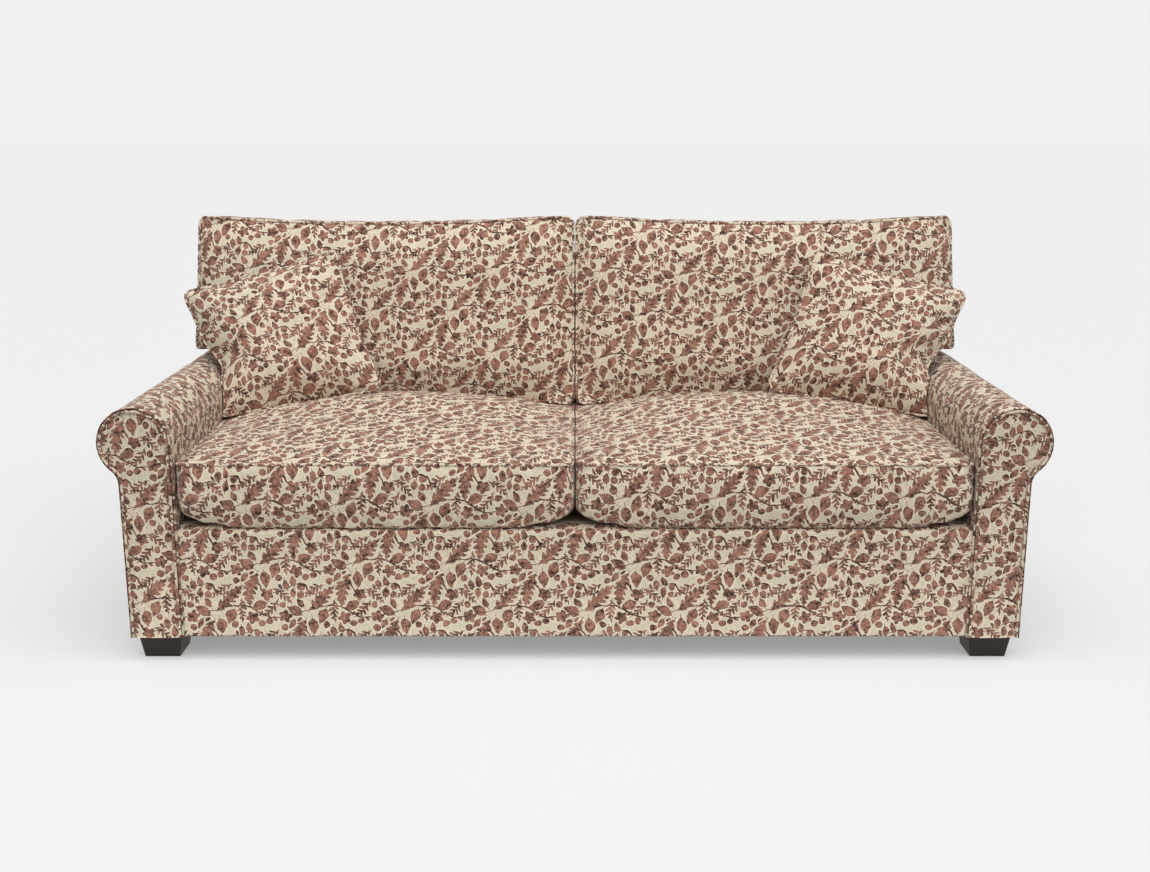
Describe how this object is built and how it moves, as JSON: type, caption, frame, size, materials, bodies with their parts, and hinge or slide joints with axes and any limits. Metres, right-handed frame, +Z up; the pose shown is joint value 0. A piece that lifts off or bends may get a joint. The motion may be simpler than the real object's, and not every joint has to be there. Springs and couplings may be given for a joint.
{
  "type": "three-seater sofa",
  "caption": "Three-seater sofa with rolled arms, loose box seat cushions, T-shaped back cushions and scatter cushions on short block feet, in a small leaf print.",
  "frame": {"origin": "on the floor, midway between the arms and midway between the front of the arms and the crest of the back", "axes": "+X to the right as seen from the front, +Y towards the back, +Z up"},
  "size_m": [2.1, 0.9794, 0.9499],
  "materials": {
    "printed_linen": "matte printed linen, small brown leaf pattern on cream",
    "piping_fabric": "matte printed linen cut on the bias",
    "lining_cloth": "matte lining cloth",
    "black_cloth": "matte black cloth",
    "cushion_filling": "matte filling",
    "zip_tape": "woven tape",
    "frame_timber": "sawn timber and plywood",
    "foot_wood": "satin black-brown stain",
    "plated_steel": "zinc plated",
    "zip_metal": "nickel plated"
  },
  "bodies": {
    "frame": {"front_rail": "frame_timber", "back_rail": "frame_timber", "side_rail_left": "frame_timber", "side_rail_right": "frame_timber", "seat_cross_rails": "frame_timber", "corner_blocks": "frame_timber", "arm_scroll_board_left": "frame_timber", "arm_scroll_board_right": "frame_timber", "arm_rear_board_left": "frame_timber", "arm_rear_board_right": "frame_timber", "arm_top_rail_left": "frame_timber", "arm_top_rail_right": "frame_timber", "arm_slat_left": "frame_timber", "arm_slat_right": "frame_timber", "back_post_left": "frame_timber", "back_post_right": "frame_timber", "back_centre_post": "frame_timber", "back_top_rail": "frame_timber", "back_lower_rail": "frame_timber", "seat_springs": "plated_steel", "spring_clips": "plated_steel", "back_webbing": "black_cloth", "seat_deck": "lining_cloth", "front_apron_cover": "printed_linen", "arm_cover_left": "printed_linen", "arm_cover_right": "printed_linen", "arm_front_panel_left": "printed_linen", "arm_front_panel_right": "printed_linen", "arm_piping_left": "piping_fabric", "arm_piping_right": "piping_fabric", "inside_back_cover": "printed_linen", "outside_back_cover": "printed_linen", "dust_cover": "black_cloth", "foot_front_left": "foot_wood", "foot_front_right": "foot_wood", "foot_rear_left": "foot_wood", "foot_rear_right": "foot_wood", "foot_bolts": "plated_steel", "foot_tee_nuts": "plated_steel"},
    "seat_cushion_left": {"seat_cushion_cover_left": "printed_linen", "seat_foam_core_left": "cushion_filling", "seat_zip_left": "zip_tape"},
    "seat_zip_slider_left": {"seat_zip_pull_left": "zip_metal"},
    "back_cushion_left": {"back_cushion_cover_left": "printed_linen", "back_fibre_core_left": "cushion_filling", "back_zip_left": "zip_tape"},
    "back_zip_slider_left": {"back_zip_pull_left": "zip_metal"},
    "scatter_cushion_left": {"scatter_cover_left": "printed_linen", "scatter_pad_left": "cushion_filling"},
    "seat_cushion_right": {"seat_cushion_cover_right": "printed_linen", "seat_foam_core_right": "cushion_filling", "seat_zip_right": "zip_tape"},
    "seat_zip_slider_right": {"seat_zip_pull_right": "zip_metal"},
    "back_cushion_right": {"back_cushion_cover_right": "printed_linen", "back_fibre_core_right": "cushion_filling", "back_zip_right": "zip_tape"},
    "back_zip_slider_right": {"back_zip_pull_right": "zip_metal"},
    "scatter_cushion_right": {"scatter_cover_right": "printed_linen", "scatter_pad_right": "cushion_filling"}
  },
  "joints": [
    {"name": "seat_cushion_pull_left", "type": "slide", "parent": "frame", "child": "seat_cushion_left", "axis": [0, -1, 0], "range_m": [0, 0.72]},
    {"name": "back_cushion_lift_left", "type": "slide", "parent": "frame", "child": "back_cushion_left", "axis": [0, 0.2079, 0.9781], "range_m": [0, 0.5]},
    {"name": "scatter_cushion_lift_left", "type": "slide", "parent": "frame", "child": "scatter_cushion_left", "axis": [0, 0, 1], "range_m": [0, 0.45]},
    {"name": "seat_zip_left", "type": "slide", "parent": "seat_cushion_left", "child": "seat_zip_slider_left", "axis": [-1, 0, 0], "range_m": [0, 0.65]},
    {"name": "back_zip_left", "type": "slide", "parent": "back_cushion_left", "child": "back_zip_slider_left", "axis": [-1, 0, 0], "range_m": [0, 0.55]},
    {"name": "seat_cushion_pull_right", "type": "slide", "parent": "frame", "child": "seat_cushion_right", "axis": [0, -1, 0], "range_m": [0, 0.72]},
    {"name": "back_cushion_lift_right", "type": "slide", "parent": "frame", "child": "back_cushion_right", "axis": [0, 0.2079, 0.9781], "range_m": [0, 0.5]},
    {"name": "scatter_cushion_lift_right", "type": "slide", "parent": "frame", "child": "scatter_cushion_right", "axis": [0, 0, 1], "range_m": [0, 0.45]},
    {"name": "seat_zip_right", "type": "slide", "parent": "seat_cushion_right", "child": "seat_zip_slider_right", "axis": [1, 0, 0], "range_m": [0, 0.65]},
    {"name": "back_zip_right", "type": "slide", "parent": "back_cushion_right", "child": "back_zip_slider_right", "axis": [1, 0, 0], "range_m": [0, 0.55]}
  ]
}
